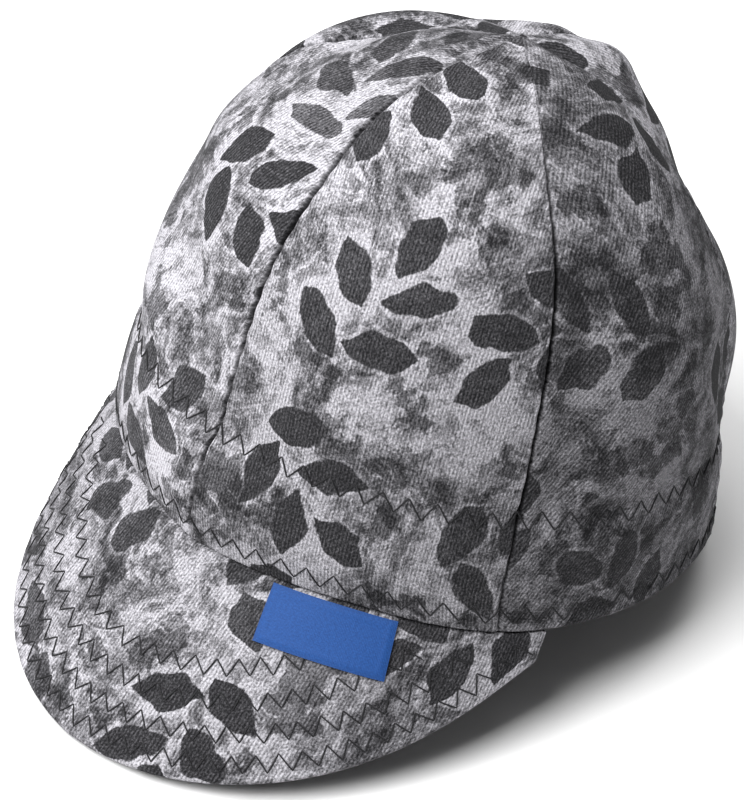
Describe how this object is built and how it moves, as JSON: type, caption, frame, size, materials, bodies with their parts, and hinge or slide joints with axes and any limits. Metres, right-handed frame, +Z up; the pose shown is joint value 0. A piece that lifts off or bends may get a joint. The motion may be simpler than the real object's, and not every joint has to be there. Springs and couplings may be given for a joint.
{
  "type": "welding cap",
  "caption": "Soft round cloth cap for wear under a welding helmet: six sewn panels, a turned-up hem, a short quilted brim and a small bare label.",
  "frame": {"origin": "middle of the bottom of the cap's box, on the table that the cap rests on", "axes": "+Z up from the table, -Y towards the brim at the front, +X towards the wearer's left"},
  "size_m": [0.19, 0.2322, 0.1678],
  "materials": {
    "crown_cloth": "soft cotton twill printed in greys",
    "brim_cloth": "quilted cotton twill printed in greys",
    "label_cloth": "close woven blue ribbon, bare",
    "stitch_thread": "dark cotton thread"
  },
  "bodies": {
    "root": {"crown_panel_front_left": "crown_cloth", "crown_panel_side_left": "crown_cloth", "crown_panel_back_left": "crown_cloth", "crown_panel_back_right": "crown_cloth", "crown_panel_side_right": "crown_cloth", "crown_panel_front_right": "crown_cloth", "brim": "brim_cloth", "label": "label_cloth"}
  },
  "joints": []
}
